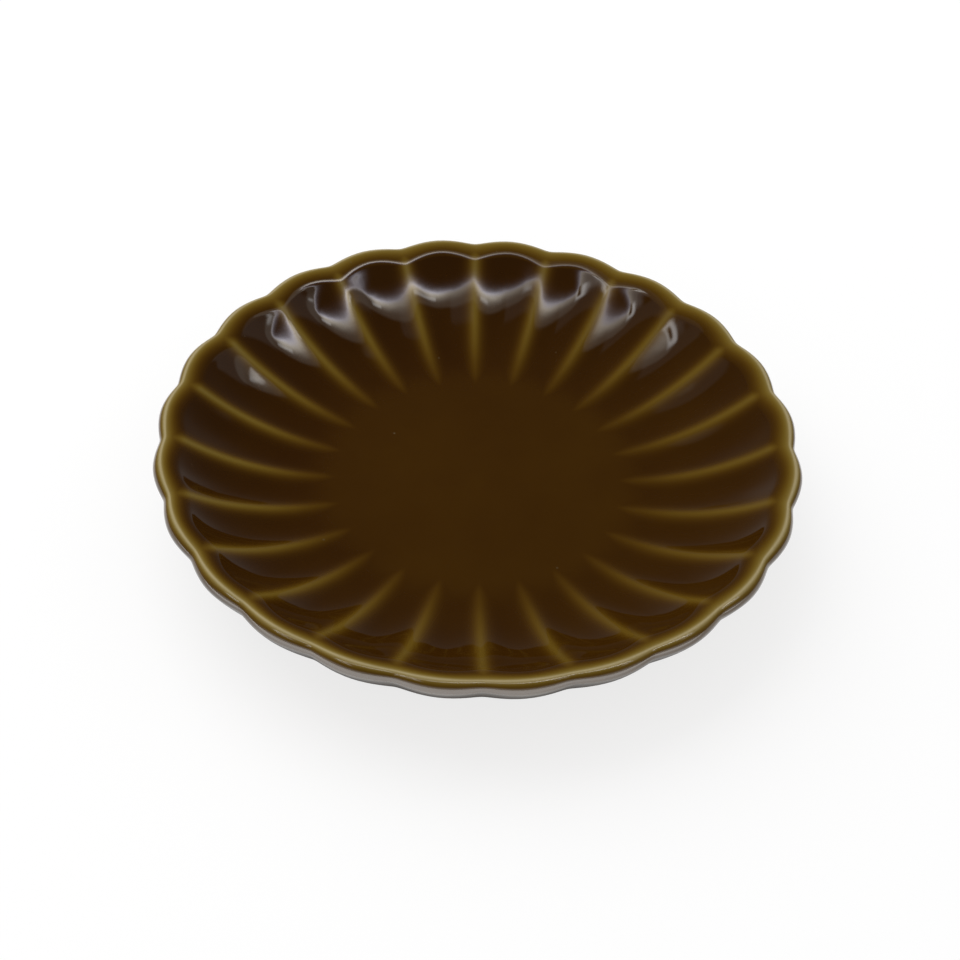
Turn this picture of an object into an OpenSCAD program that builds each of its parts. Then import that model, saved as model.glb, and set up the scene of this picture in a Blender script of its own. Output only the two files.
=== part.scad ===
// Soy sauce dish: a small round chrysanthemum dish in amber glazed stoneware.
// Petal-shaped flutes are pressed into a shallow wall, a ridge stands between each two,
// and the dish rests on a foot ring. Glaze covers everything but the tread of the foot.
// Units are millimetres and +Z is up. The origin is on the axis, at the foot's tread.

/* [Dish] */
// Diameter of the finished dish across opposite petal tips
dish_d = 100; // [88:1:120]
// Depth of the well, from its floor to the top of the rim
well_depth = 8.6; // [7.5:0.1:11]
// Diameter of the flat floor, between the feet of opposite flutes
floor_d = 53; // [46:1:58]
// Thickness of the floor, from the glaze in the well to the clay underside
floor_t = 3.5; // [2.8:0.1:5]
// Radius of the rim's outer edge
rim_round = 1.5; // [1.2:0.1:2]

/* [Flutes] */
// Number of petals round the rim
petals = 24; // [16:1:32]
// How far the rim's outline draws in where a ridge reaches it
scallop = 0.85; // [0.6:0.05:1.1]
// How far the top of the rim draws in there
rim_draw = 0.55; // [0.4:0.05:0.6]
// How far the top of the rim dips there
rim_dip = 0.45; // [0:0.05:0.8]
// Radius with which a flute rolls over into the rim
flute_roll = 3.9; // [2.5:0.1:5]
// Radius with which a ridge rolls over into the rim
ridge_roll = 5.4; // [4:0.1:7]
// How far a ridge runs in over the floor, past the feet of the flutes
ridge_reach = 4.3; // [2.5:0.1:6]
// Hollow of the flutes across: a higher power is flatter in mid-flute and steeper at the ridges
flute_power = 1.85; // [1.6:0.05:2.2]
// Width along the rim over which glaze rounds a ridge
ridge_round = 0.95; // [0.5:0.05:1.5]
// Width along the rim over which the bare clay ridge is rounded
clay_ridge_round = 0.4; // [0.2:0.05:0.5]

/* [Foot ring] */
// Outer diameter of the foot ring where it joins the base
foot_d = 56; // [48:1:62]
// Height of the foot ring
foot_h = 4.2; // [3.2:0.1:6]
// Width of the foot ring where it joins the base
foot_w = 3.6; // [3:0.1:5]
// How far each side of the foot ring leans in towards the tread
foot_taper = 0.5; // [0.2:0.05:0.6]
// Radius of the two edges of the tread
tread_round = 0.6; // [0.3:0.05:0.7]
// How far the flat base runs out past the foot ring
base_margin = 4.5; // [3:0.1:6]

/* [Glaze] */
// Depth of the glaze on the floor of the well
glaze_floor = 0.4; // [0.3:0.05:0.6]
// Depth of the glaze over the rim
glaze_lip = 0.15; // [0.1:0.01:0.3]
// Depth of the glaze on the outside and under the base
glaze_back = 0.3; // [0.2:0.05:0.4]
// How far pooled glaze moves the feet of the flutes in and those of the ridges out
glaze_pool = 1; // [0.6:0.1:1.4]
// Size of the fillet that glaze leaves in the corners of the foot ring
glaze_fillet = 0.8; // [0.4:0.1:0.9]
// Thickness of the glaze at its lower edge
glaze_edge = 0.15; // [0.1:0.01:0.25]
// Height of the bare clay left above the tread
bare_h = 1.2; // [0.8:0.1:1.6]

/* [Hidden] */

// Facets of a revolved surface
$fn = 144;
// How far a cut runs past the face that it opens
overrun = 0.5;
// Steps of the section up the inside wall, over the roll and the rim's edge, and down the outside
wall_steps = 5;
roll_steps = 2;
edge_steps = 2;
back_steps = 4;
// Where the columns of facets stand across one petal, from one ridge to the next
column_shares = [0, 0.07, 0.24, 0.5, 0.76, 0.93];
// The middle of a petal, where its flute is deepest
mid_share = 0.5;

// Angle of one petal, the angle of the first ridge, which puts a petal's tip on the X axis,
// and the petal's width along the rim
pitch = 360 / petals;
first_ridge = pitch / 2;
petal_w = PI * dish_d / petals;

// Radii and levels of the finished dish
rim_r = dish_d / 2 - rim_round;
floor_r = floor_d / 2;
foot_r = foot_d / 2;
foot_bore_r = foot_r - foot_w;
base_r = foot_r + base_margin;
floor_z = foot_h + floor_t;
rim_z = floor_z + well_depth;
back_z = foot_h - glaze_back;

// Foot ring: radius of its outer side and of its bore at height z
function foot_lean(z) = foot_taper * (foot_h - z) / (foot_h - tread_round);
function foot_side(z) = foot_r - foot_lean(z);
function foot_bore(z) = foot_bore_r + foot_lean(z);

// How much of a ridge stands at this share of a petal: 1 on the crest and 0 in mid-flute.
// The flute is a hollow curve, so the ridge is narrow, with its crest rounded over.
function crest(share, rounding) =
    let (
        off_share = min(share, 1 - share),
        soft_share = rounding / petal_w,
        run = norm([off_share, soft_share]) - soft_share,
        full = norm([mid_share, soft_share]) - soft_share
    )
    pow(1 - run / full, flute_power);

// Point of a section at an angle on an arc
function on_arc(centre, radius, angle) = centre + radius * [cos(angle), sin(angle)];

// Section of the dish as [radius, height] points. The inside wall is an arc that leaves the
// floor level, the roll is an arc from there to the level top of the rim, the rim's edge is an
// arc that turns down from the top, and the outside is an arc from the edge that meets the base
// level. Each arc is tangent to the next.
function section(wall_r, wall_z, top_r, top_z, roll_rad, edge_rad, under_z) =
    let (
        run = top_r - wall_r,
        depth = top_z - wall_z,
        both_rad = (run * run + depth * depth) / (2 * depth),
        wall_rad = both_rad - roll_rad,
        wall_end = asin(run / both_rad),
        reach = top_r - base_r,
        drop = top_z - edge_rad - under_z,
        back_rad = (reach * reach + drop * drop - edge_rad * edge_rad) / (2 * (drop - edge_rad)),
        back_end = atan2(reach, back_rad - drop)
    )
    concat(
        [for (i = [0 : wall_steps])
            on_arc([wall_r, wall_z + wall_rad], wall_rad, wall_end * i / wall_steps - 90)],
        [for (i = [1 : roll_steps])
            on_arc([top_r, top_z - roll_rad], roll_rad, 90 + wall_end * (1 - i / roll_steps))],
        [for (i = [1 : edge_steps])
            on_arc([top_r, top_z - edge_rad], edge_rad, 90 - 90 * i / edge_steps)],
        [for (i = [back_steps : -1 : 0])
            on_arc([base_r, under_z + back_rad], back_rad, back_end * i / back_steps - 90)]
    );

// Section at a place across a petal. ridge is how much of a ridge stands there, pool moves the
// feet of flutes and ridges apart, floor_depth sinks the floor, and lip_depth sinks the rim.
function petal_section(ridge, pool, floor_depth, lip_depth, under_z) =
    section(
        wall_r = floor_r + pool - (ridge_reach + 2 * pool) * ridge,
        wall_z = floor_z - floor_depth,
        top_r = rim_r - rim_draw * ridge,
        top_z = rim_z - rim_dip * ridge - lip_depth,
        roll_rad = flute_roll + (ridge_roll - flute_roll) * ridge - lip_depth,
        edge_rad = rim_round - (scallop - rim_draw) * ridge - lip_depth,
        under_z = under_z
    );

// Sections across one petal, for the glazed surface and for the clay under it
glazed_sections = [for (share = column_shares)
    petal_section(crest(share, ridge_round), 0, 0, 0, back_z)];
clay_sections = [for (share = column_shares)
    petal_section(crest(share, clay_ridge_round), glaze_pool, glaze_floor, glaze_lip, foot_h)];

// Angles of all the columns, petal by petal, and the widest step between two of them
column_angles = [for (k = [0 : petals - 1])
    for (share = column_shares)
        first_ridge + (k + share) * pitch];
widest_step = max([for (i = [1 : len(column_shares) - 1])
    column_angles[i] - column_angles[i - 1]]);

// Rings of points round the dish: one from each point of the sections, and a round one
function spun(point, angle) = [point.x * cos(angle), point.x * sin(angle), point.y];
function petal_ring(sections, i) = [for (j = [0 : len(column_angles) - 1])
    spun(sections[j % len(column_shares)][i], column_angles[j])];
function petal_rings(sections) = [for (i = [0 : len(sections[0]) - 1]) petal_ring(sections, i)];
function round_ring(radius, z) = [for (angle = column_angles) spun([radius, z], angle)];

// Ring whose flats, and not its corners, lie on a circle, so that it clears a round piece
function clear_ring(radius, z) = round_ring(radius / cos(widest_step / 2), z);

function backwards(list) = [for (i = [len(list) - 1 : -1 : 0]) list[i]];

// Closed solid through a row of rings, with flat ends. The facets of each petal are split
// along diagonals that mirror each other about the middle of the flute. From the ring number
// given as turn on, the rings run back along another solid's own rings, and the diagonals
// change over there, so that the facets of the two solids match.
module loft(rings, turn) {
    columns = len(rings[0]);
    across = len(column_shares);
    ends = len(rings) - 1;
    function corner(i, j) = i * columns + j % columns;
    function facets(a, b, c, d, even) = even ? [[a, b, c], [a, c, d]] : [[a, b, d], [b, c, d]];
    skin = [for (i = [0 : ends - 1])
        for (j = [0 : columns - 1])
            each facets(corner(i, j), corner(i, j + 1), corner(i + 1, j + 1), corner(i + 1, j),
                        (j % across < across / 2) == (i < turn))];
    first_end = [for (j = [columns - 1 : -1 : 0]) corner(0, j)];
    last_end = [for (j = [0 : columns - 1]) corner(ends, j)];
    polyhedron([for (ring = rings) each ring], concat([first_end], skin, [last_end]), convexity = 4);
}

// Pressed clay body: well, fluted wall, rolled rim and plain outside, down to a flat base
module clay_dish() {
    rings = petal_rings(clay_sections);
    color("#b49a76")
        loft(rings, turn = len(rings));
}

// What rounding takes off a lower corner of the foot ring's section, on the side given
module tread_corner(side) {
    difference() {
        translate([side < 0 ? -overrun : -tread_round, -overrun])
            square([tread_round + overrun, tread_round + overrun]);
        translate([-side * tread_round, tread_round])
            circle(tread_round);
    }
}

// Clay ring luted to the base: leaning sides, and a flat tread between two rounded edges
module foot_ring() {
    outer = foot_side(tread_round);
    inner = foot_bore(tread_round);
    color("#c2a985")
        rotate_extrude()
            difference() {
                polygon([
                    [foot_bore_r, foot_h],
                    [foot_r, foot_h],
                    [outer, tread_round],
                    [outer, 0],
                    [inner, 0],
                    [inner, tread_round]
                ]);
                translate([outer, 0])
                    tread_corner(1);
                translate([inner, 0])
                    tread_corner(-1);
            }
}

// Coat of amber glaze over the well, the ridges, the rim and the outside, and down the outer
// side of the foot ring. It is deep in the flutes and thin over the ridges and the rim,
// and its inner skin is the clay's own surface.
module glaze_coat() {
    outside = concat(petal_rings(glazed_sections), [
        round_ring(foot_r + glaze_back + glaze_fillet, back_z),
        round_ring(foot_r + glaze_back, back_z - glaze_fillet),
        clear_ring(foot_side(bare_h) + glaze_edge, bare_h + glaze_edge),
        clear_ring(foot_side(bare_h), bare_h),
        clear_ring(foot_r, foot_h)
    ]);
    inside = backwards(petal_rings(clay_sections));
    color("#5e3f10")
        loft(concat(outside, inside), turn = len(outside));
}

// Pool of glaze under the base, inside the foot ring, with a fillet up the ring's bore
module base_glaze() {
    color("#6b4814")
        rotate_extrude()
            polygon([
                [0, foot_h],
                [foot_bore_r, foot_h],
                [foot_bore(bare_h), bare_h],
                [foot_bore(bare_h) - glaze_edge, bare_h + glaze_edge],
                [foot_bore_r - glaze_back, back_z - glaze_fillet],
                [foot_bore_r - glaze_back - glaze_fillet, back_z],
                [0, back_z]
            ]);
}

clay_dish();
foot_ring();
glaze_coat();
base_glaze();
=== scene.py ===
"""Looks of a small round chrysanthemum dish in amber glazed stoneware.

The dish is one fired piece: a pressed clay body, a clay foot ring luted under it, a coat of amber
glaze that runs thin over the ridges and the lip and pools in the flutes, and a pool of the same
glaze inside the foot ring. Lengths are in millimetres, as on a maker's drawing, until a mesh is made
of them. Meshes, patterns and the studio are in metres.
"""

import logging
import math
from dataclasses import dataclass
from enum import Enum

import bpy
import numpy as np
from mathutils import Matrix, Vector


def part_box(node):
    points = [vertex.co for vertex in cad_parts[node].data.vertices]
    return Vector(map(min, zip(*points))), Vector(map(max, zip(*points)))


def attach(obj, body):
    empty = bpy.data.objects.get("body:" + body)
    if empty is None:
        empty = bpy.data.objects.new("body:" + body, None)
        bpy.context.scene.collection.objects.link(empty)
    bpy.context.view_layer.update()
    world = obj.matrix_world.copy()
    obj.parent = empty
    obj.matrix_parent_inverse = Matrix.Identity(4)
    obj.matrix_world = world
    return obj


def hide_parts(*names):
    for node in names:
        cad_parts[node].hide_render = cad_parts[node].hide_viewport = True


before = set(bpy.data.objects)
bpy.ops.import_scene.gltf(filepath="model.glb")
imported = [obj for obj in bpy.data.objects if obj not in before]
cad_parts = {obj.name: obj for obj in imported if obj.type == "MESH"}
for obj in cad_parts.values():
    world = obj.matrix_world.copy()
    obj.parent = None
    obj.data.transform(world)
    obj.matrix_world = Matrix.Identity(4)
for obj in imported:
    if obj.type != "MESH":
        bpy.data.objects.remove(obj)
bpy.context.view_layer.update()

Array = np.ndarray
Lengths = Array | float
Pair = tuple[float, float]
Colour = tuple[float, float, float]
Settings = dict[str, object]
Sockets = dict[str | int, object]

LOG = logging.getLogger("soy_sauce_dish")
METRES_PER_MM = 0.001
DEPTH_ATTRIBUTE = "glaze_depth"
FULL_TURN = 2 * math.pi
QUARTER_TURN = math.pi / 2
SHORTEST_NORMAL = 1e-9
NOISE_MEAN = 0.5
WHITE: Colour = (1.0, 1.0, 1.0)

# Share of a petal from its ridge to the middle of its flute.
MID_FLUTE = 0.5

# Colour sockets of a Mix node, by number because its other sockets have the same names.
MIX_FIRST, MIX_SECOND, MIX_RESULT = 6, 7, 2


class MathOp(Enum):
    """Sums that a Math node can do on values."""

    ADD = "ADD"
    SUBTRACT = "SUBTRACT"
    MULTIPLY = "MULTIPLY"
    DIVIDE = "DIVIDE"
    POWER = "POWER"
    EXPONENT = "EXPONENT"
    MAXIMUM = "MAXIMUM"
    MINIMUM = "MINIMUM"
    ABSOLUTE = "ABSOLUTE"
    SQRT = "SQRT"


class Ray(Enum):
    """Kinds of ray that a Light Path node tells apart."""

    CAMERA = "Is Camera Ray"
    TRANSMISSION = "Is Transmission Ray"
    GLOSSY = "Is Glossy Ray"
    DIFFUSE = "Is Diffuse Ray"


class Slot(Enum):
    """Material slots of the part's record."""

    STONEWARE = "stoneware"
    AMBER_GLAZE = "amber_glaze"


class Value:
    """A socket that carries one number, with sums on it written as Python expressions."""

    def __init__(self, board: "NodeBoard", socket: bpy.types.NodeSocket) -> None:
        """Keeps the socket and the board that its sums are added to."""
        self.board = board
        self.socket = socket

    def math(self, op: MathOp, *terms: "Value | float", swapped: bool = False) -> "Value":
        """Adds a Math node.

        Args:
            op: What the node works out.
            terms: The other terms, as values or plain numbers.
            swapped: Whether the other term comes first.

        Returns:
            The node's result.
        """
        row = [*terms, self] if swapped else [self, *terms]
        return self.board.value("ShaderNodeMath", {"operation": op.value}, dict(enumerate(row)), "Value")

    def __add__(self, other: "Value | float") -> "Value":
        """This value plus another."""
        return self.math(MathOp.ADD, other)

    def __sub__(self, other: "Value | float") -> "Value":
        """This value less another."""
        return self.math(MathOp.SUBTRACT, other)

    def __rsub__(self, other: float) -> "Value":
        """A number less this value."""
        return self.math(MathOp.SUBTRACT, other, swapped=True)

    def __mul__(self, other: "Value | float") -> "Value":
        """This value times another."""
        return self.math(MathOp.MULTIPLY, other)

    def __truediv__(self, other: "Value | float") -> "Value":
        """This value over another."""
        return self.math(MathOp.DIVIDE, other)

    def __rtruediv__(self, other: float) -> "Value":
        """A number over this value."""
        return self.math(MathOp.DIVIDE, other, swapped=True)

    def __pow__(self, other: "Value | float") -> "Value":
        """This value to a power."""
        return self.math(MathOp.POWER, other)

    __radd__ = __add__
    __rmul__ = __mul__

    def exp(self) -> "Value":
        """The natural exponential of this value."""
        return self.math(MathOp.EXPONENT)

    def sqrt(self) -> "Value":
        """The square root of this value."""
        return self.math(MathOp.SQRT)

    def size(self) -> "Value":
        """This value without its sign."""
        return self.math(MathOp.ABSOLUTE)

    def at_least(self, floor: "Value | float") -> "Value":
        """The larger of this value and another."""
        return self.math(MathOp.MAXIMUM, floor)

    def at_most(self, ceiling: "Value | float") -> "Value":
        """The smaller of this value and another."""
        return self.math(MathOp.MINIMUM, ceiling)

    def step(self, start: float, end: float) -> "Value":
        """A smooth step of this value, 0 at start and 1 at end."""
        sockets = {"Value": self, "From Min": start, "From Max": end}
        return self.board.value("ShaderNodeMapRange", {"interpolation_type": "SMOOTHSTEP"}, sockets, "Result")

    def band(self, start: float, end: float, blur: float) -> "Value":
        """1 between start and end and 0 outside, by a smooth step that goes blur to each side of them."""
        return self.step(start - blur, start + blur) * (1.0 - self.step(end - blur, end + blur))


class NodeBoard:
    """A node tree, cleared, to which nodes are added one by one."""

    def __init__(self, tree: bpy.types.NodeTree) -> None:
        """Keeps the tree and removes what it starts with."""
        self.tree = tree
        tree.nodes.clear()

    def node(self, kind: str, settings: Settings, sockets: Sockets) -> bpy.types.Node:
        """Adds one node.

        Args:
            kind: The node's type.
            settings: Its own settings, which are set first.
            sockets: Its inputs by name or number, as values, sockets, numbers or colours.

        Returns:
            The new node.
        """
        node = self.tree.nodes.new(kind)
        for name, setting in settings.items():
            setattr(node, name, setting)
        for key, given in sockets.items():
            link = given.socket if isinstance(given, Value) else given
            if isinstance(link, bpy.types.NodeSocket):
                self.tree.links.new(link, node.inputs[key])
            else:
                node.inputs[key].default_value = link
        return node

    def value(self, kind: str, settings: Settings, sockets: Sockets, output: str) -> Value:
        """Adds one node and gives one of its outputs as a value."""
        return Value(self, self.node(kind, settings, sockets).outputs[output])

    def place(self) -> bpy.types.NodeSocket:
        """Places on the piece, in metres in the dish's own frame."""
        return self.node("ShaderNodeTexCoord", {}, {}).outputs["Object"]

    def parts(self, vector: bpy.types.NodeSocket) -> list[Value]:
        """The x, y and z of a vector."""
        node = self.node("ShaderNodeSeparateXYZ", {}, {"Vector": vector})
        return [Value(self, node.outputs[axis]) for axis in "XYZ"]

    def rays(self, *kinds: Ray) -> list[Value]:
        """Whether a ray is of each of these kinds, as 1 or 0."""
        path = self.node("ShaderNodeLightPath", {}, {})
        return [Value(self, path.outputs[kind.value]) for kind in kinds]

    def noise(self, scale: float, detail: float = 2.0, roughness: float = 0.5) -> Value:
        """Cloudy noise over the piece.

        Args:
            scale: Clouds to a metre.
            detail: How many finer layers it has.
            roughness: How strong the finer layers are.

        Returns:
            The noise's height, which is NOISE_MEAN on average.
        """
        sockets = {"Vector": self.place(), "Scale": scale, "Detail": detail, "Roughness": roughness}
        return self.value("ShaderNodeTexNoise", {}, sockets, "Fac")

    def specks(self, scale: float, share: float, edge: Pair) -> Value:
        """Small round specks at scattered points of the piece.

        Args:
            scale: Points to a metre.
            share: Share of the points that have a speck.
            edge: How far from its point a speck starts to fade and ends, in spacings of the points.

        Returns:
            How much of a speck stands at each place, from 0 to 1.
        """
        cells = self.node("ShaderNodeTexVoronoi", {}, {"Vector": self.place(), "Scale": scale})
        lot = self.value("ShaderNodeSeparateColor", {}, {"Color": cells.outputs["Color"]}, "Red")
        away = Value(self, cells.outputs["Distance"])
        return (1.0 - away.step(*edge)) * lot.step(1.0 - share, 1.0)

    def colour(self, parts: list[Value]) -> bpy.types.NodeSocket:
        """A colour from its red, green and blue values."""
        return self.node("ShaderNodeCombineColor", {}, dict(enumerate(parts))).outputs["Color"]

    def blend(self, share: Value, first: object, second: object) -> bpy.types.NodeSocket:
        """A colour mixed from two, where share 0 is the first and 1 the second."""
        sockets = {"Factor": share, MIX_FIRST: first, MIX_SECOND: second}
        return self.node("ShaderNodeMix", {"data_type": "RGBA"}, sockets).outputs[MIX_RESULT]

    def either(self, share: object, first: bpy.types.Node, second: bpy.types.Node) -> bpy.types.Node:
        """A shader mixed from two, where share 0 is the first and 1 the second."""
        return self.node("ShaderNodeMixShader", {}, {0: share, 1: first.outputs[0], 2: second.outputs[0]})

    def bump(self, height: Value, rise: float) -> bpy.types.NodeSocket:
        """A normal bent by a height from 0 to 1, where 1 stands rise metres proud."""
        return self.node("ShaderNodeBump", {}, {"Height": height, "Distance": rise}).outputs["Normal"]


def opaque(colour: Colour) -> tuple[float, float, float, float]:
    """A colour with full alpha, as sockets take it."""
    return (*colour, 1.0)


def new_material(name: str) -> tuple[bpy.types.Material, NodeBoard]:
    """Makes an empty material.

    Args:
        name: The material's name.

    Returns:
        The material and the board of its nodes.
    """
    material = bpy.data.materials.new(name)
    material.use_nodes = True
    return material, NodeBoard(material.node_tree)


@dataclass(frozen=True)
class AmberGlaze:
    """Clear amber gloss glaze over pale clay: ochre where it is thin and dark brown where it is deep.

    The colour follows the glaze's depth. Each channel is that of the clay under the glaze, times
    the exponential of minus its absorption times the depth. Where the glaze breaks on an edge, paler
    clay is added, times the exponential of minus the depth over the breaking depth.
    """

    name: str = "amber_glaze"
    clay_under: Colour = (0.231, 0.17, 0.0277)
    absorption_per_mm: Colour = (4.03, 5.6, 8.4)
    breaking: Colour = (0.16, 0.15, 0.145)
    breaking_depth: float = 0.03
    ior: float = 1.5
    gloss_roughness: float = 0.06
    roughness_swing: float = 0.05
    cloud_share: float = 0.16
    clouds_per_metre: float = 90.0
    cloud_detail: float = 3.0
    speck: Colour = (0.16, 0.13, 0.075)
    specks_per_metre: float = 420.0
    speck_share: float = 0.06
    speck_edge: Pair = (0.03, 0.11)
    speck_cover: float = 0.5
    speck_roughness: float = 0.2
    peel_per_metre: float = 260.0
    peel_rise: float = 0.000012

    def material(self) -> bpy.types.Material:
        """Makes the glaze's material: colour by depth, with clouds, specks and a slight orange peel.

        Returns:
            The material.
        """
        material, board = new_material(self.name)
        depth = board.value("ShaderNodeAttribute", {"attribute_name": DEPTH_ATTRIBUTE}, {}, "Fac")
        clouds = board.noise(self.clouds_per_metre, detail=self.cloud_detail) - NOISE_MEAN
        uneven = depth * (1.0 + clouds * self.cloud_share)
        bare = (uneven * (-1.0 / self.breaking_depth)).exp()
        colour = board.colour([
            (uneven * -absorbed).exp() * clay + bare * pale
            for clay, absorbed, pale in zip(self.clay_under, self.absorption_per_mm, self.breaking)
        ])
        specks = board.specks(self.specks_per_metre, self.speck_share, self.speck_edge)
        smoothest = self.gloss_roughness - self.roughness_swing / 2
        roughness = board.noise(self.peel_per_metre) * self.roughness_swing + smoothest
        shader = board.node("ShaderNodeBsdfPrincipled", {}, {
            "Base Color": board.blend(specks * self.speck_cover, colour, opaque(self.speck)),
            "Roughness": roughness + specks * self.speck_roughness,
            "IOR": self.ior,
            "Normal": board.bump(board.noise(self.peel_per_metre), self.peel_rise),
        })
        board.node("ShaderNodeOutputMaterial", {}, {"Surface": shader.outputs[0]})
        return material


@dataclass(frozen=True)
class BareClay:
    """Bare fired stoneware: matt, fine grained and flecked."""

    name: str = "bare_stoneware"
    light: Colour = (0.52, 0.375, 0.225)
    dark: Colour = (0.40, 0.275, 0.155)
    clouds_per_metre: float = 160.0
    cloud_detail: float = 4.0
    cloud_roughness: float = 0.6
    cloud_edge: Pair = (0.3, 0.7)
    fleck: Colour = (0.16, 0.10, 0.06)
    flecks_per_metre: float = 900.0
    fleck_share: float = 0.12
    fleck_edge: Pair = (0.08, 0.3)
    fleck_cover: float = 0.75
    grain_per_metre: float = 2600.0
    grain_detail: float = 3.0
    grain_roughness: float = 0.65
    grain_rise: float = 0.00005
    roughness: float = 0.78
    roughness_swing: float = 0.2
    specular: float = 0.35

    def material(self) -> bpy.types.Material:
        """Makes the clay's material: two clay tones in clouds, dark flecks and a sandy grain.

        Returns:
            The material.
        """
        material, board = new_material(self.name)
        clouds = board.noise(self.clouds_per_metre, self.cloud_detail, self.cloud_roughness)
        colour = board.blend(clouds.step(*self.cloud_edge), opaque(self.dark), opaque(self.light))
        flecks = board.specks(self.flecks_per_metre, self.fleck_share, self.fleck_edge)
        grain = board.noise(self.grain_per_metre, self.grain_detail, self.grain_roughness)
        smoothest = self.roughness - self.roughness_swing / 2
        shader = board.node("ShaderNodeBsdfPrincipled", {}, {
            "Base Color": board.blend(flecks * self.fleck_cover, colour, opaque(self.fleck)),
            "Roughness": grain * self.roughness_swing + smoothest,
            "Specular IOR Level": self.specular,
            "Normal": board.bump(grain, self.grain_rise),
        })
        board.node("ShaderNodeOutputMaterial", {}, {"Surface": shader.outputs[0]})
        return material


@dataclass(frozen=True)
class Reach:
    """A stretch of the dish's section as rows of points, one row for each step along it.

    Attributes:
        radius: Distance from the axis, rows by columns, or by one column where all are alike.
        height: Height above the tread, in the same shape.
    """

    radius: Array
    height: Array

    def thinned(self, every: int) -> "Reach":
        """Every so many rows of this stretch, with its last row kept."""
        keep = np.union1d(np.arange(0, len(self.radius), every), [len(self.radius) - 1])
        return Reach(self.radius[keep], self.height[keep])

    def reversed(self) -> "Reach":
        """This stretch run the other way."""
        return Reach(self.radius[::-1], self.height[::-1])

    def turned(self, angles: Array) -> Array:
        """Points of this stretch at each column's angle, rows by columns by 3."""
        x, y = self.radius * np.cos(angles), self.radius * np.sin(angles)
        return np.stack([x, y, np.broadcast_to(self.height, x.shape)], axis=-1)


def join(stretches: list[Reach]) -> Reach:
    """One stretch made of several, each after the one before it."""
    radius = np.concatenate([stretch.radius for stretch in stretches])
    return Reach(radius, np.concatenate([stretch.height for stretch in stretches]))


def arc(centre_r: Lengths, centre_z: Lengths, radius: Lengths, angles: Array) -> Reach:
    """Rows of points on arcs: the centre, plus the radius times the cosine and sine of each angle."""
    return Reach(centre_r + radius * np.cos(angles), centre_z + radius * np.sin(angles))


def straight(start: Pair, end: Pair, shares: Array) -> Reach:
    """Rows of points on a straight line from start to end, at these shares of the way."""
    return Reach(start[0] + (end[0] - start[0]) * shares, start[1] + (end[1] - start[1]) * shares)


def steps(count: int, first: bool = False) -> Array:
    """Even shares of a stretch up to its end, one a row, with its first point only where asked."""
    return np.linspace(0.0, 1.0, count + 1)[0 if first else 1:, None]


def even_angles(columns: int) -> Array:
    """Angles of evenly spaced columns round the axis."""
    return np.arange(columns) * FULL_TURN / columns


def put_mesh(name: str, points: Array, faces: list[list[int]]) -> bpy.types.Object:
    """Makes a smooth mesh object at the origin.

    Args:
        name: The piece's name.
        points: Its points in millimetres, one a row.
        faces: Its faces as lists of point numbers.

    Returns:
        The object.
    """
    mesh = bpy.data.meshes.new(name)
    mesh.from_pydata((points * METRES_PER_MM).tolist(), [], faces)
    mesh.polygons.foreach_set("use_smooth", np.ones(len(mesh.polygons), bool))
    mesh.update()
    piece = bpy.data.objects.new(name, mesh)
    bpy.context.scene.collection.objects.link(piece)
    return piece


def ring_faces(rows: int, columns: int, looped: bool) -> Array:
    """Quads between neighbouring rows of points that go round an axis.

    Point j of row i has the number i times the columns plus j. Each quad runs from a row to the
    next and one column on, so that rows going outwards with angles going up face upwards.

    Args:
        rows: Number of rows.
        columns: Points in a row.
        looped: Whether the last row meets the first.

    Returns:
        Point numbers, one quad a row.
    """
    i, j = np.meshgrid(np.arange(rows if looped else rows - 1), np.arange(columns), indexing="ij")
    below, on = (i + 1) % rows, (j + 1) % columns
    quads = [i * columns + j, below * columns + j, below * columns + on, i * columns + on]
    return np.stack(quads, axis=-1).reshape(-1, 4)


def capped_shell(name: str, points: Array, ends: Pair) -> bpy.types.Object:
    """Makes a closed skin from rows that go round the axis, with a point on the axis at each end.

    Args:
        name: The piece's name.
        points: Rows by columns by 3, in millimetres.
        ends: Heights of the points on the axis before the first row and after the last.

    Returns:
        The object, whose last two points are the ends.
    """
    rows, columns, _ = points.shape
    first, last = rows * columns, rows * columns + 1
    turn = np.arange(columns)
    on = (turn + 1) % columns
    below = (rows - 1) * columns
    start = np.stack([np.full(columns, first), turn, on], axis=-1)
    close = np.stack([np.full(columns, last), below + on, below + turn], axis=-1)
    poles = np.array([[0.0, 0.0, ends[0]], [0.0, 0.0, ends[1]]])
    faces = start.tolist() + ring_faces(rows, columns, looped=False).tolist() + close.tolist()
    return put_mesh(name, np.concatenate([points.reshape(-1, 3), poles]), faces)


def surface_normals(points: Array) -> Array:
    """Unit normals of rows of points that go round the axis.

    The step to the next row crossed with the step to the next column points out of the skin.

    Args:
        points: Rows by columns by 3.

    Returns:
        Normals of the same shape.
    """
    down = np.gradient(points, axis=0)
    on = np.roll(points, -1, axis=1) - np.roll(points, 1, axis=1)
    normals = np.cross(down, on)
    return normals / np.maximum(np.linalg.norm(normals, axis=-1, keepdims=True), SHORTEST_NORMAL)


def eased(value: Array, start: float, end: float) -> Array:
    """A smooth step, 0 at start and 1 at end: three times the share squared less twice its cube."""
    share = np.clip((value - start) / (end - start), 0.0, 1.0)
    return share * share * (3 - 2 * share)


def set_depths(piece: bpy.types.Object, depths: Array) -> None:
    """Stores the glaze's depth at every point of a piece, in millimetres."""
    attribute = piece.data.attributes.new(DEPTH_ATTRIBUTE, "FLOAT", "POINT")
    attribute.data.foreach_set("value", np.ascontiguousarray(depths, np.float32))


def dress(piece: bpy.types.Object, material: bpy.types.Material, slot: Slot) -> None:
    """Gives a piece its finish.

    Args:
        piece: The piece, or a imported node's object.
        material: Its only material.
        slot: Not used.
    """
    piece.data.materials.clear()
    piece.data.materials.append(material)


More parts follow.
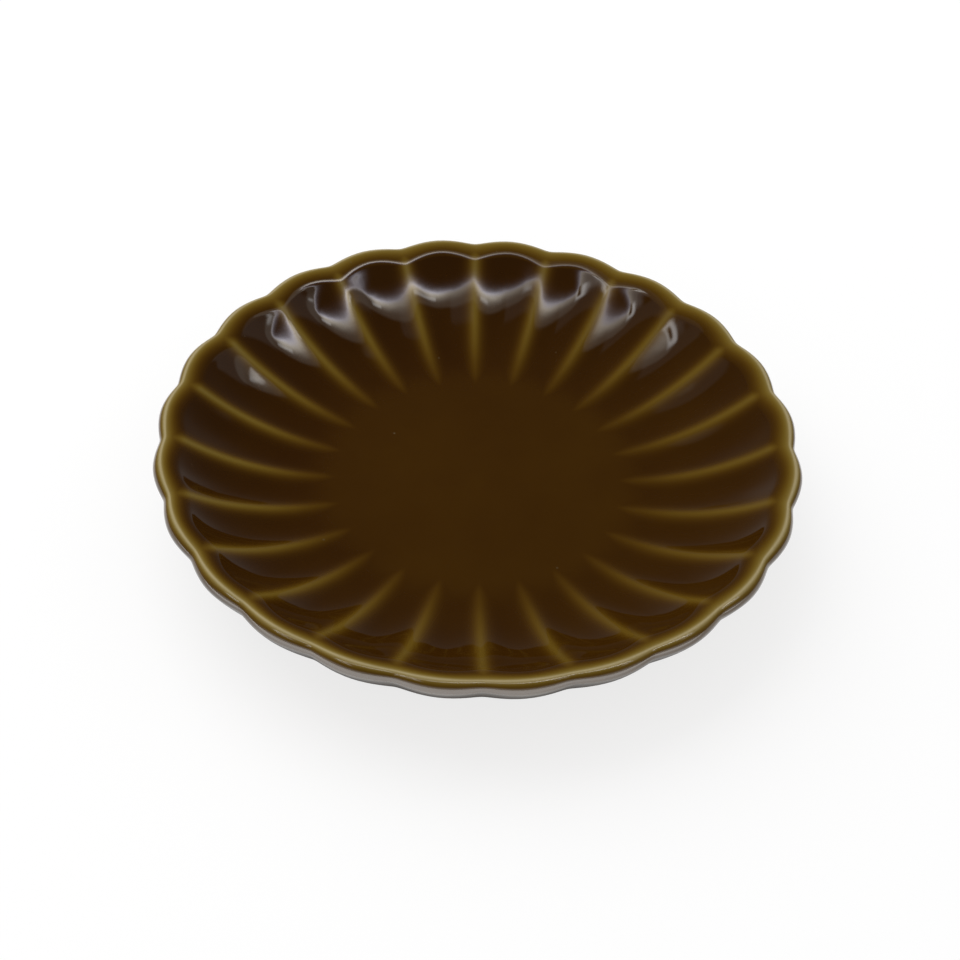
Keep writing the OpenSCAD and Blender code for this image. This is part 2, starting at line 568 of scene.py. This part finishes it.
def fit_piece(piece: bpy.types.Object, node: str) -> None:
    """Puts a new piece on the dish's one body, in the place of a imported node.

    Args:
        piece: The piece.
        node: The node that it stands for.
    """
    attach(piece, "root")
    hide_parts(node)
    LOG.info("%s: %d points, %d faces", piece.name, len(piece.data.vertices), len(piece.data.polygons))


def box_mm(node: str) -> tuple[Array, Array]:
    """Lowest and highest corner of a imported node, in millimetres."""
    low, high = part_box(node)
    return np.array(low) / METRES_PER_MM, np.array(high) / METRES_PER_MM


def from_ridge(shares: Array) -> Array:
    """Distance of each place from its nearest ridge, in petals."""
    return np.abs(shares - np.round(shares))


@dataclass(frozen=True)
class RowCounts:
    """Rows of points along each stretch of a section of the dish."""

    floor: int
    wall: int
    roll: int
    lip: int
    outside: int

    def shares(self) -> dict[str, Array]:
        """Even shares of each stretch, each without the point where the last one ended."""
        return {name: steps(count) for name, count in vars(self).items()}


@dataclass
class DishForm:
    """Sizes of the dish and the sections of its two surfaces: the glaze's and that of the clay under it.

    A ridge stands between each two flutes. How much of a ridge stands at a place is its crest, 1 on
    the ridge and 0 in mid-flute, and every size that differs between ridge and flute follows it.
    """

    rim_r: float
    rim_z: float
    foot_r: float
    foot_h: float
    bare_h: float
    glaze_lip: float
    petals: int = 24
    well_depth: float = 8.6
    floor_r: float = 26.5
    ridge_reach: float = 4.3
    ridge_round: float = 0.95
    clay_ridge_round: float = 0.4
    flute_power: float = 1.85
    scallop: float = 0.85
    rim_draw: float = 0.55
    rim_dip: float = 0.45
    rim_round: float = 1.5
    flute_roll: float = 3.9
    ridge_roll: float = 5.4
    base_margin: float = 4.5
    foot_w: float = 3.6
    foot_taper: float = 0.5
    tread_round: float = 0.6
    glaze_floor: float = 0.4
    glaze_back: float = 0.3
    glaze_pool: float = 1.0
    glaze_fillet: float = 0.8
    glaze_edge: float = 0.15

    @classmethod
    def from_frame(cls) -> "DishForm":
        """Takes the rim, the foot and the glaze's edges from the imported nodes.

        Returns:
            The form, with its other sizes as drawn.
        """
        glaze_low, glaze_high = box_mm("glaze_coat")
        _, clay_high = box_mm("clay_dish")
        _, foot_high = box_mm("foot_ring")
        return cls(
            rim_r=float(glaze_high[0]),
            rim_z=float(glaze_high[2]),
            foot_r=float(foot_high[0]),
            foot_h=float(foot_high[2]),
            bare_h=float(glaze_low[2]),
            glaze_lip=float(glaze_high[2] - clay_high[2]),
        )

    @property
    def floor_z(self) -> float:
        """Height of the well's floor."""
        return self.rim_z - self.well_depth

    @property
    def foot_bore_r(self) -> float:
        """Radius of the foot ring's bore where it joins the base."""
        return self.foot_r - self.foot_w

    @property
    def base_r(self) -> float:
        """Radius of the flat base, where the outside starts to rise."""
        return self.foot_r + self.base_margin

    @property
    def back_z(self) -> float:
        """Height of the glaze under the base."""
        return self.foot_h - self.glaze_back

    def foot_lean(self, height: float) -> float:
        """How far each side of the foot ring leans in at this height."""
        return self.foot_taper * (self.foot_h - height) / (self.foot_h - self.tread_round)

    def column_shares(self, per_petal: int, crowding: float) -> Array:
        """Places across one petal, from one ridge towards the next, crowded at the ridges.

        Even shares t become t less crowding times the sine of a full turn of t, over a full turn.

        Args:
            per_petal: Columns in a petal.
            crowding: 0 for even columns and nearly 1 for columns crowded at the ridges.

        Returns:
            Places in petals for all columns round the dish.
        """
        even = np.arange(per_petal) / per_petal
        shares = even - crowding * np.sin(FULL_TURN * even) / FULL_TURN
        return (np.arange(self.petals)[:, None] + shares).ravel()

    def column_angles(self, shares: Array) -> Array:
        """Angles of columns. The first ridge stands half a petal off the X axis."""
        return (shares + MID_FLUTE) * FULL_TURN / self.petals

    def crest(self, shares: Array, rounding: float) -> Array:
        """How much of a ridge stands at each place.

        The distance from the ridge, in petals, is softened as the far side of a right triangle
        whose near side is the rounding, less that side. One less its part of the most that it
        can be, to the flute's power, is the crest.

        Args:
            shares: Places in petals.
            rounding: Width along the rim over which the ridge is rounded.

        Returns:
            The crest, from 0 to 1.
        """
        soft = rounding * self.petals / (FULL_TURN * self.rim_r)
        run = np.hypot(from_ridge(shares), soft) - soft
        full = math.hypot(MID_FLUTE, soft) - soft
        return (1 - run / full) ** self.flute_power

    def skin(self, shares: Array, counts: RowCounts, clay: bool) -> Reach:
        """Section of one surface, from the axis out: floor, wall, roll, outer lip and outside.

        The wall is an arc that leaves the floor level and meets the roll, an arc that ends level on
        top of the rim. The outer lip is an arc from there to the outside, an arc that meets the
        base level. Each arc is tangent to the next. The wall's radius is half the sum of run squared
        and depth squared, over the depth, less the roll. The outside's radius is half of reach squared
        plus drop squared less the lip squared, over the drop less the lip.

        Args:
            shares: Places in petals, one for each column.
            counts: How many rows each stretch has.
            clay: Whether this is the clay's surface and not the glaze's.

        Returns:
            The section, rows by columns.
        """
        crest = self.crest(shares, self.clay_ridge_round if clay else self.ridge_round)
        pool, sunk = (self.glaze_pool, self.glaze_lip) if clay else (0.0, 0.0)
        floor_z = self.floor_z - (self.glaze_floor if clay else 0.0)
        under_z = self.foot_h if clay else self.back_z
        flute_foot = self.floor_r + pool
        foot = flute_foot - (self.ridge_reach + 2 * pool) * crest
        top_r = self.rim_r - self.rim_round - self.rim_draw * crest
        top_z = self.rim_z - sunk - self.rim_dip * crest
        roll = self.flute_roll - sunk + (self.ridge_roll - self.flute_roll) * crest
        lip = self.rim_round - sunk - (self.scallop - self.rim_draw) * crest

        run, depth = top_r - foot, top_z - floor_z
        both = (run**2 + depth**2) / (2 * depth)
        wall_end = np.arcsin(run / both)
        reach, drop = top_r - self.base_r, top_z - lip - under_z
        back = (reach**2 + drop**2 - lip**2) / (2 * (drop - lip))
        back_end = np.arctan2(reach, back - drop)

        along = counts.shares()
        floor_r = foot * along["floor"]
        return join([
            Reach(floor_r, np.full_like(floor_r, floor_z)),
            arc(foot, floor_z + both - roll, both - roll, wall_end * along["wall"] - QUARTER_TURN),
            arc(top_r, top_z - roll, roll, QUARTER_TURN + wall_end * (1 - along["roll"])),
            arc(top_r, top_z - lip, lip, QUARTER_TURN - (math.pi - back_end) * along["lip"]),
            arc(self.base_r, under_z + back, back, back_end * (1 - along["outside"]) - QUARTER_TURN),
        ])


@dataclass(frozen=True)
class GlazeFlow:
    """How deep the glaze lies, in millimetres, after it has run in the kiln. Angles are in degrees."""

    well: float = 0.41
    flute: float = 0.475
    outside: float = 0.27
    flute_start_r: float = 22.0
    flute_full_r: float = 28.0
    ridge_loss: float = 0.36
    ridge_half_w: float = 1.35
    ridge_rise: float = 9.0
    ridge_side_share: float = 0.13
    rim_ridge_share: float = 0.75
    rim_fade_share: float = 0.5
    lip_tilt: float = 14.0
    lip_tilt_lean: float = 6.5
    lip_spread_in: float = 33.0
    lip_spread_lean: float = 13.0
    lip_spread_out: float = 32.0
    lip_power: float = 2.4
    lip_lean_angle: float = 84.0
    side_deepening: float = 0.055
    deeper_side_angle: float = 150.0
    side_start_r: float = 10.0
    side_full_r: float = 30.0

    def depths(self, skin: Reach, angles: Array, off_ridge: Array, first_roll: int, roll_rows: int) -> Array:
        """Depth of the glaze at each point of the coat's outer surface.

        Glaze pools in the flutes, so it is deeper there than on the floor. It thins over a ridge: a
        bell curve of the distance from the ridge, that grows with the wall's slope and is weaker on
        the rim. It thins to nothing over the lip: a bell curve of the surface's tilt, that is wider
        and further out on one side of the dish. The thinner of the two holds. Flutes are a little
        deeper, and ridges a little barer, towards one side of the dish, so the flutes are darker and
        the ridges paler there. Each difference from side to side follows the cosine of the angle
        from that side.

        Args:
            skin: The outer surface's section, rows by columns.
            angles: Angle of each column, in radians.
            off_ridge: Distance of each column from its ridge, in parts of a full turn.
            first_roll: Number of the row where the wall ends.
            roll_rows: Rows from there to the top of the rim.

        Returns:
            Depths, rows by columns.
        """
        row = np.arange(len(skin.radius))[:, None]
        tilt = np.degrees(np.arctan2(-np.gradient(skin.height, axis=0), np.gradient(skin.radius, axis=0)))
        on_rim = row >= first_roll
        in_flute = eased(skin.radius, self.flute_start_r, self.flute_full_r)
        past_top = eased(tilt, 0.0, self.lip_spread_out) * on_rim
        body = self.well + (self.flute - self.well) * in_flute
        body = body + (self.outside - self.flute) * past_top

        slope = np.where(on_rim, -tilt[first_roll - 1], -tilt)
        over_rim = eased(row, first_roll, first_roll + self.rim_fade_share * roll_rows)
        # Glaze is made deeper in the flutes and thinner on the ridges towards one side, which darkens the
        # flutes and pales the ridges there.
        toward_side = np.cos(angles - math.radians(self.deeper_side_angle))
        loss = self.ridge_loss * (1 + self.ridge_side_share * toward_side)
        loss = loss * (1 - np.exp(-np.maximum(slope, 0.0) / self.ridge_rise))
        loss = loss * (1 - (1 - self.rim_ridge_share) * over_rim) * (1 - past_top)
        across = FULL_TURN * skin.radius * off_ridge
        on_ridge = body - loss * np.exp(-((across / self.ridge_half_w) ** 2))

        leant = np.cos(angles - math.radians(self.lip_lean_angle))
        off_lip = tilt - (self.lip_tilt + self.lip_tilt_lean * leant)
        spread_in = self.lip_spread_in + self.lip_spread_lean * leant
        spread = np.where(off_lip < 0, spread_in, self.lip_spread_out)
        on_lip = body * (1 - np.exp(-(np.abs(off_lip / spread) ** self.lip_power)) * on_rim)
        deeper = 1 + self.side_deepening * toward_side * eased(skin.radius, self.side_start_r, self.side_full_r)
        return np.minimum(on_ridge, on_lip) * deeper


@dataclass
class GlazeCoat:
    """The amber coat: the well, the flutes and ridges, the lip, the outside and the side of the foot."""

    form: DishForm
    finish: bpy.types.Material
    per_petal: int = 20
    crowding: float = 0.75
    rows: RowCounts = RowCounts(floor=12, wall=44, roll=14, lip=16, outside=22)
    inner_every: int = 4
    base_rows: int = 2
    fillet_rows: int = 6
    side_rows: int = 4
    back_rows: int = 2
    flow: GlazeFlow = GlazeFlow()
    ripple: float = 0.012
    ripple_lengths: tuple[float, ...] = (9.0, 13.0, 17.0, 23.0)
    ripple_turn: float = 2.4
    ripple_phase: float = 3.0
    calm_rows: int = 12

    def rippled(self, points: Array, first_roll: int) -> Array:
        """Gives the glaze's surface its uneven flow.

        Each point moves along its normal by a sum of sine waves of several lengths and directions,
        which dies away over the last rows of the wall.

        Args:
            points: Points of the surface, rows by columns by 3.
            first_roll: Number of the row where the wall ends.

        Returns:
            The moved points.
        """
        x, y = points[..., 0], points[..., 1]
        turns = np.arange(len(self.ripple_lengths)) * self.ripple_turn
        waves = [
            np.sin(FULL_TURN * (x * np.cos(turn) + y * np.sin(turn)) / length + self.ripple_phase * turn)
            for turn, length in zip(turns, self.ripple_lengths)
        ]
        rise = self.ripple * np.sum(waves, axis=0)
        calm = np.clip((first_roll - np.arange(len(points))) / self.calm_rows, 0, 1)
        return points + surface_normals(points) * rise[..., None] * calm[:, None, None]

    def foot_cover(self) -> Reach:
        """Section of the glaze under the base and down the foot ring to the glaze's lower edge.

        The base runs in level to a quarter round fillet, then the side runs down with the lean of
        the foot ring to a half round edge, and back up along the clay to the base.

        Returns:
            The section, in one column.
        """
        form = self.form
        half = form.glaze_edge / 2
        side_r, side_z = form.foot_r + form.glaze_back, form.back_z - form.glaze_fillet
        edge_r, edge_z = form.foot_r - form.foot_lean(form.bare_h), form.bare_h + half
        fillet_r = side_r + form.glaze_fillet
        turn = steps(self.fillet_rows)
        return join([
            straight((form.base_r, form.back_z), (fillet_r, form.back_z), steps(self.base_rows)),
            arc(fillet_r, side_z, form.glaze_fillet, QUARTER_TURN * (1 + turn)),
            straight((side_r, side_z), (edge_r + form.glaze_edge, edge_z), steps(self.side_rows)),
            arc(edge_r + half, edge_z, half, -math.pi * turn),
            straight((edge_r, edge_z), (form.foot_r, form.foot_h), steps(self.back_rows)),
        ])

    def build(self) -> None:
        """Makes the coat as one closed skin and stores the glaze's depth at its points.

        The skin runs from the axis over the outer surface and down the foot, then back along the clay.
        """
        form = self.form
        shares = form.column_shares(self.per_petal, self.crowding)
        angles = form.column_angles(shares)
        skin = form.skin(shares, self.rows, clay=False)
        clay = form.skin(shares, self.rows, clay=True)
        first_roll = self.rows.floor + self.rows.wall
        outer = self.rippled(skin.turned(angles), first_roll)
        foot = self.foot_cover().turned(angles)
        inner = clay.thinned(self.inner_every).reversed().turned(angles)
        ends = (form.floor_z, form.floor_z - form.glaze_floor)
        piece = capped_shell("amber_coat", np.concatenate([outer, foot, inner]), ends)

        off_ridge = from_ridge(shares) / form.petals
        outer_depth = self.flow.depths(skin, angles, off_ridge, first_roll, self.rows.roll)
        foot_depth = np.full(foot.shape[:2], form.glaze_back)
        inner_depth = np.full(inner.shape[:2], form.glaze_floor)
        depths = np.concatenate([outer_depth, foot_depth, inner_depth]).ravel()
        set_depths(piece, np.append(depths, [form.glaze_floor, form.glaze_floor]))
        dress(piece, self.finish, Slot.AMBER_GLAZE)
        fit_piece(piece, "glaze_coat")


@dataclass
class BaseGlaze:
    """The pool of glaze under the base, inside the foot ring, with a fillet up the ring's bore."""

    form: DishForm
    finish: bpy.types.Material
    columns: int = 192
    hub_r: float = 0.5
    top_rows: int = 4
    bore_rows: int = 3
    fillet_rows: int = 8
    side_rows: int = 4
    base_rows: int = 10

    def section(self) -> Reach:
        """Section of the pool: level top, down the bore, half round edge, up the side, fillet and base.

        Returns:
            The section, in one column.
        """
        form = self.form
        half = form.glaze_edge / 2
        bore_top = (form.foot_bore_r, form.foot_h)
        low_r, low_z = form.foot_bore_r + form.foot_lean(form.bare_h), form.bare_h + half
        side_r, side_z = form.foot_bore_r - form.glaze_back, form.back_z - form.glaze_fillet
        inner_r = side_r - form.glaze_fillet
        turn = steps(self.fillet_rows)
        return join([
            straight((self.hub_r, form.foot_h), bore_top, steps(self.top_rows, first=True)),
            straight(bore_top, (low_r, low_z), steps(self.bore_rows)),
            arc(low_r - half, low_z, half, -math.pi * turn),
            straight((low_r - form.glaze_edge, low_z), (side_r, side_z), steps(self.side_rows)),
            arc(inner_r, side_z, form.glaze_fillet, QUARTER_TURN * turn),
            straight((inner_r, form.back_z), (self.hub_r, form.back_z), steps(self.base_rows)),
        ])

    def build(self) -> None:
        """Makes the pool as a closed turned skin, of one depth all over."""
        points = self.section().turned(even_angles(self.columns))
        piece = capped_shell("base_pool", points, (self.form.foot_h, self.form.back_z))
        set_depths(piece, np.full(len(piece.data.vertices), self.form.glaze_back))
        dress(piece, self.finish, Slot.AMBER_GLAZE)
        fit_piece(piece, "base_glaze")


@dataclass
class FootRing:
    """The clay ring luted under the base: leaning sides and a bare tread between two rounded edges."""

    form: DishForm
    finish: bpy.types.Material
    columns: int = 240
    top_rows: int = 2
    side_rows: int = 6
    round_rows: int = 8
    tread_rows: int = 4

    def section(self) -> Reach:
        """Section of the ring: top, outer side, quarter round edge, tread, quarter round edge and bore.

        Returns:
            The section, in one column.
        """
        form = self.form
        small = form.tread_round
        bore_top, side_top = (form.foot_bore_r, form.foot_h), (form.foot_r, form.foot_h)
        outer, inner = form.foot_r - form.foot_taper, form.foot_bore_r + form.foot_taper
        turn = QUARTER_TURN * steps(self.round_rows)
        return join([
            straight(bore_top, side_top, steps(self.top_rows)),
            straight(side_top, (outer, small), steps(self.side_rows)),
            arc(outer - small, small, small, -turn),
            straight((outer - small, 0.0), (inner + small, 0.0), steps(self.tread_rows)),
            arc(inner + small, small, small, -QUARTER_TURN - turn),
            straight((inner, small), bore_top, steps(self.side_rows)),
        ])

    def build(self) -> None:
        """Makes the ring as a closed turned loop."""
        points = self.section().turned(even_angles(self.columns))
        faces = ring_faces(len(points), self.columns, looped=True)
        piece = put_mesh("turned_foot", points.reshape(-1, 3), faces.tolist())
        dress(piece, self.finish, Slot.STONEWARE)
        fit_piece(piece, "foot_ring")


@dataclass
class ClayBody:
    """The pressed clay body, which the glaze covers all over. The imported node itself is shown."""

    finish: bpy.types.Material

    def build(self) -> None:
        """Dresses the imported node."""
        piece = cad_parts["clay_dish"]
        dress(piece, self.finish, Slot.STONEWARE)
        LOG.info("%s: packed node, dressed", piece.name)


@dataclass
class PhotoCamera:
    """The camera of the photograph, from its fitted angles in degrees. Its clip distances are in metres."""

    aim_z: float
    azimuth: float = 4.789
    elevation: float = 44.643
    roll: float = 2.717
    distance: float = 350.86
    aim: Pair = (0.461, -0.264)
    focal_pixels: float = 2239.25
    frame_pixels: float = 960.0
    sensor: float = 36.0
    clip: Pair = (0.01, 20.0)

    def build(self) -> None:
        """Makes the camera and gives it to the scene.

        The camera stands back from its aim at its elevation, turned about the upright axis by its
        azimuth, and is rolled about its own line of sight.
        """
        spin = Matrix.Rotation(math.radians(self.azimuth), 3, "Z")
        rise, roll = math.radians(self.elevation), math.radians(self.roll)
        back = Vector((0.0, -math.cos(rise), math.sin(rise)))
        right = Vector((1.0, 0.0, 0.0))
        up = back.cross(right)
        across = right * math.cos(roll) + up * math.sin(roll)
        upright = up * math.cos(roll) - right * math.sin(roll)
        aim = Vector((*self.aim, 0.0))
        place = spin @ (aim + back * self.distance) + Vector((0.0, 0.0, self.aim_z))
        axes = spin @ Matrix((across, upright, back)).transposed()
        data = bpy.data.cameras.new("photo_camera")
        data.sensor_fit = "HORIZONTAL"
        data.sensor_width = self.sensor
        data.lens = self.focal_pixels * self.sensor / self.frame_pixels
        data.clip_start, data.clip_end = self.clip
        camera = bpy.data.objects.new("photo_camera", data)
        camera.matrix_world = Matrix.Translation(place * METRES_PER_MM) @ axes.to_4x4()
        bpy.context.scene.collection.objects.link(camera)
        bpy.context.scene.camera = camera


@dataclass(frozen=True)
class Patch:
    """A soft-edged patch of light on the ceiling. A negative light takes light away.

    Its edges are in parts of the ceiling's height from the dish.
    """

    light: float
    left: float
    right: float
    near: float
    far: float
    blur: float = 0.05

    def glow(self, across: Value, ahead: Value) -> Value:
        """Light of the patch at a place on the ceiling: its light times a soft step at each edge."""
        sides = across.band(self.left, self.right, self.blur)
        return sides * ahead.band(self.near, self.far, self.blur) * self.light


@dataclass(frozen=True)
class Room:
    """The dim room that the gloss mirrors: a dark block overhead with a bright outline, and pale walls.

    Places are on a level ceiling, in parts of its height from the dish. Heights and sides of the walls
    are parts of a direction of length 1.
    """

    block: Pair = (0.14, -0.55)
    block_half: Pair = (0.65, 0.35)
    block_round: float = 0.1
    bend: float = 0.335
    bend_from: float = -0.1
    bend_power: float = 1.5
    outline: float = 2.9
    outline_gain: float = 2.15
    gain_from: Pair = (-0.3, 0.6)
    inner_w: float = 0.03
    outer_w: float = 0.078
    end_w: float = 0.022
    end_from: Pair = (0.5, 0.78)
    end_loss: float = 1.7
    haze: float = 0.5
    haze_end: Pair = (0.18, 0.24)
    inner_tint: Colour = (0.85, 0.85, 1.0)
    outer_tint: Colour = (1.0, 0.93, 0.8)
    tint_edge: Pair = (-0.02, 0.05)
    patches: tuple[Patch, ...] = (
        Patch(light=0.14, left=-1.3, right=-0.1, near=-0.15, far=0.2),
        Patch(light=0.6, left=-0.84, right=-0.56, near=-0.6, far=-0.17, blur=0.08),
        Patch(light=0.2, left=0.75, right=1.6, near=-0.5, far=0.06, blur=0.08),
        Patch(light=4.2, left=-0.65, right=-0.48, near=-0.3, far=-0.085, blur=0.04),
        Patch(light=-6.5, left=-0.57, right=-0.505, near=-0.3, far=-0.14, blur=0.03),
        Patch(light=3.6, left=0.84, right=0.96, near=-0.44, far=-0.4, blur=0.035),
        Patch(light=3.0, left=0.4, right=0.66, near=-0.13, far=-0.085, blur=0.02),
    )
    patch_edge: Pair = (-0.02, 0.02)
    near_end: Pair = (-0.8, -0.5)
    overhead: Pair = (0.05, 0.3)
    ceiling_low: float = 0.02
    horizon: float = 0.27
    horizon_fall: float = 0.183
    horizon_ahead: float = 0.35
    horizon_sides: Pair = (0.25, 0.5)
    near_horizon: float = 2.5
    near_side: Pair = (-0.6, -0.1)
    near_height: Pair = (-0.1, 0.5)
    dim: float = 0.03

    def from_block(self, across: Value, ahead: Value) -> Value:
        """Distance of a place on the ceiling from the block's rounded edge, negative inside the block.

        Args:
            across: How far to the right the place is.
            ahead: How far ahead it is.

        Returns:
            The distance to the block without its rounding, less the rounding.
        """
        out_u = (across - self.block[0]).size() - (self.block_half[0] - self.block_round)
        out_v = (ahead - self.block[1]).size() - (self.block_half[1] - self.block_round)
        corner = (out_u.at_least(0.0) ** 2.0 + out_v.at_least(0.0) ** 2.0).sqrt()
        return corner + out_u.at_least(out_v).at_most(0.0) - self.block_round

    def outlined(self, across: Value, ahead: Value, away: Value) -> Value:
        """Light of the block's outline and of the haze round it.

        The outline falls off outwards as a bell curve of the distance from the block, and inwards as
        an exponential. It is brighter to the right, but narrow and weak at the block's right end, and
        it fades towards the viewer.

        Args:
            across: How far to the right a place on the ceiling is.
            ahead: How far ahead it is.
            away: Its distance from the block.

        Returns:
            The light.
        """
        at_end = across.step(*self.end_from)
        width = at_end * (self.end_w - self.outer_w) + self.outer_w
        outer = ((away.at_least(0.0) / width) ** 2.0 * -1.0).exp()
        inner = (away.at_most(0.0) * (1.0 / self.inner_w)).exp()
        haze = (1.0 - away.step(*self.haze_end)) * inner
        gain = across.step(*self.gain_from) * self.outline_gain - at_end * self.end_loss + 1.0
        return (outer * inner * gain * self.outline + haze * self.haze) * ahead.step(*self.near_end)

    def walls(self, forward: Value, sideways: Value, height: Value) -> Value:
        """Light of the walls.

        They pale towards the horizon as an exponential of the height, to the sides most, and on the
        viewer's side as a smooth step.

        Args:
            forward: How far a direction goes ahead.
            sideways: How far it goes to the right.
            height: How far it goes up.

        Returns:
            The light.
        """
        low = (height.at_least(0.0) * (-1.0 / self.horizon_fall)).exp() * self.horizon
        to_side = sideways.size().step(*self.horizon_sides)
        low = low * (to_side * (1.0 - self.horizon_ahead) + self.horizon_ahead)
        near_side = (1.0 - forward.step(*self.near_side)) * (1.0 - height.step(*self.near_height))
        return low + near_side * self.near_horizon + self.dim

    def colour(self, board: NodeBoard, turn: float) -> bpy.types.NodeSocket:
        """Light of the room by direction.

        A direction is carried to a level ceiling one unit up, where all that is on it bends away to
        one side by a power of the distance along it. The outline is bluish inwards and warm outwards.
        Patches show only outside the block.

        Args:
            board: The world's nodes.
            turn: Angle of the view about the upright axis, in degrees.

        Returns:
            The light's colour, with its strength.
        """
        x, y, z = board.parts(board.node("ShaderNodeTexCoord", {}, {}).outputs["Generated"])
        sine, cosine = math.sin(math.radians(turn)), math.cos(math.radians(turn))
        high = z.at_least(self.ceiling_low)
        forward, sideways = y * cosine - x * sine, x * cosine + y * sine
        across = sideways / high
        ahead = forward / high - (across - self.bend_from).at_least(0.0) ** self.bend_power * self.bend

        away = self.from_block(across, ahead)
        overhead = z.step(*self.overhead)
        outline = self.outlined(across, ahead, away) * overhead
        warm = away.step(*self.tint_edge)
        outside = away.step(*self.patch_edge) * overhead
        plain = self.walls(forward, sideways, z)
        for patch in self.patches:
            plain = plain + patch.glow(across, ahead) * outside
        return board.colour([
            (outline * (warm * (far - near) + near) + plain).at_least(0.0)
            for near, far in zip(self.inner_tint, self.outer_tint)
        ])


@dataclass
class Studio:
    """A pale floor, even light from all round, a soft lamp, and the room that only gloss shows."""

    turn: float
    fill: float = 0.72
    key: float = 0.72
    key_size: float = 1.2
    key_place: tuple[float, float, float] = (-0.5, 0.45, 0.85)
    floor_half: float = 3.0
    floor_colour: Colour = (0.25, 0.25, 0.25)
    floor_lift: float = 0.76
    far_lift: float = 0.1
    floor_bounce: float = 0.5
    near_shine: float = 4.4
    side_shine: float = 1.2
    far_shine: float = 0.05
    shade: Pair = (0.040, 0.057)
    near_edge: Pair = (-0.08, -0.035)
    far_edge: Pair = (0.05, 0.16)
    open_r: Pair = (0.3, 1.0)
    room: Room = Room()

    def floor_light(self, board: NodeBoard) -> Value:
        """Light of the floor itself, by the ray that meets it.

        A ray from the camera, or one that has passed through something clear, finds a white that is
        a little lighter far out. A mirrored ray finds a floor that is bright on the viewer's side,
        dimmer beside the dish, nearly dark behind it, and shaded under it. A scattered ray finds an
        even light.

        Args:
            board: The floor's nodes.

        Returns:
            The light's strength.
        """
        seen, through, mirrored, scattered = board.rays(Ray.CAMERA, Ray.TRANSMISSION, Ray.GLOSSY, Ray.DIFFUSE)
        x, y, _ = board.parts(board.place())
        radius = (x * x + y * y).sqrt()
        white = radius.step(*self.open_r) * self.far_lift + self.floor_lift
        shine = (1.0 - y.step(*self.near_edge)) * (self.near_shine - self.side_shine)
        shine = shine + (1.0 - y.step(*self.far_edge)) * (self.side_shine - self.far_shine) + self.far_shine
        mirror = radius.step(*self.shade) * shine + self.far_shine
        return (seen + through).at_most(1.0) * white + mirrored * mirror + scattered * self.floor_bounce

    def floor_finish(self) -> bpy.types.Material:
        """Makes the floor's material: matt, to keep the shadow, with its own light, and clear from below.

        Returns:
            The material.
        """
        material, board = new_material("pale_floor")
        matt = board.node("ShaderNodeBsdfDiffuse", {}, {"Color": opaque(self.floor_colour)})
        glow = board.node("ShaderNodeEmission", {}, {"Strength": self.floor_light(board)})
        pale = board.node("ShaderNodeAddShader", {}, {0: matt.outputs[0], 1: glow.outputs[0]})
        clear = board.node("ShaderNodeBsdfTransparent", {}, {})
        below = board.node("ShaderNodeNewGeometry", {}, {}).outputs["Backfacing"]
        both = board.either(below, pale, clear)
        board.node("ShaderNodeOutputMaterial", {}, {"Surface": both.outputs[0]})
        return material

    def floor(self) -> None:
        """Makes the floor, a square under the dish."""
        half = self.floor_half
        corners = [(-half, -half, 0.0), (half, -half, 0.0), (half, half, 0.0), (-half, half, 0.0)]
        mesh = bpy.data.meshes.new("floor")
        mesh.from_pydata(corners, [], [(0, 1, 2, 3)])
        mesh.materials.append(self.floor_finish())
        floor = bpy.data.objects.new("floor", mesh)
        bpy.context.scene.collection.objects.link(floor)

    def lamp(self) -> None:
        """Makes the soft key lamp, which the gloss doesn't show.

        Its power is the key times pi squared times the distance squared, so that the key alone says
        how bright it is at the dish.
        """
        data = bpy.data.lights.new("key", "AREA")
        data.size = self.key_size
        place = Vector(self.key_place)
        data.energy = self.key * math.pi**2 * place.length_squared
        lamp = bpy.data.objects.new("key", data)
        lamp.location = place
        lamp.rotation_mode = "QUATERNION"
        lamp.rotation_quaternion = place.to_track_quat("Z", "Y")
        lamp.visible_glossy = False
        bpy.context.scene.collection.objects.link(lamp)

    def world(self) -> None:
        """Makes the world: even light for matt surfaces, the room for gloss and white for the camera."""
        world = bpy.data.worlds.new("studio")
        world.use_nodes = True
        board = NodeBoard(world.node_tree)
        seen, through, mirrored = board.rays(Ray.CAMERA, Ray.TRANSMISSION, Ray.GLOSSY)
        even = board.node("ShaderNodeBackground", {}, {"Strength": self.fill})
        room = board.node("ShaderNodeBackground", {}, {"Color": self.room.colour(board, self.turn)})
        white = board.node("ShaderNodeBackground", {}, {"Color": opaque(WHITE), "Strength": 1.0})
        lit = board.either(mirrored, even, room)
        whole = board.either((seen + through).at_most(1.0), lit, white)
        board.node("ShaderNodeOutputWorld", {}, {"Surface": whole.outputs[0]})
        bpy.context.scene.world = world

    def build(self) -> None:
        """Makes the floor, the lamp and the world, and sets the plain view transform."""
        self.floor()
        self.lamp()
        self.world()
        bpy.context.scene.view_settings.view_transform = "Standard"


def main() -> None:
    """Builds the dish piece by piece, then the studio round it."""
    logging.basicConfig(level=logging.INFO, format="%(name)s: %(message)s")
    form = DishForm.from_frame()
    camera = PhotoCamera(aim_z=form.floor_z)
    camera.build()
    glaze, clay = AmberGlaze().material(), BareClay().material()
    ClayBody(finish=clay).build()
    FootRing(form=form, finish=clay).build()
    GlazeCoat(form=form, finish=glaze).build()
    BaseGlaze(form=form, finish=glaze).build()
    Studio(turn=camera.azimuth).build()


if __name__ == "__main__":
    main()
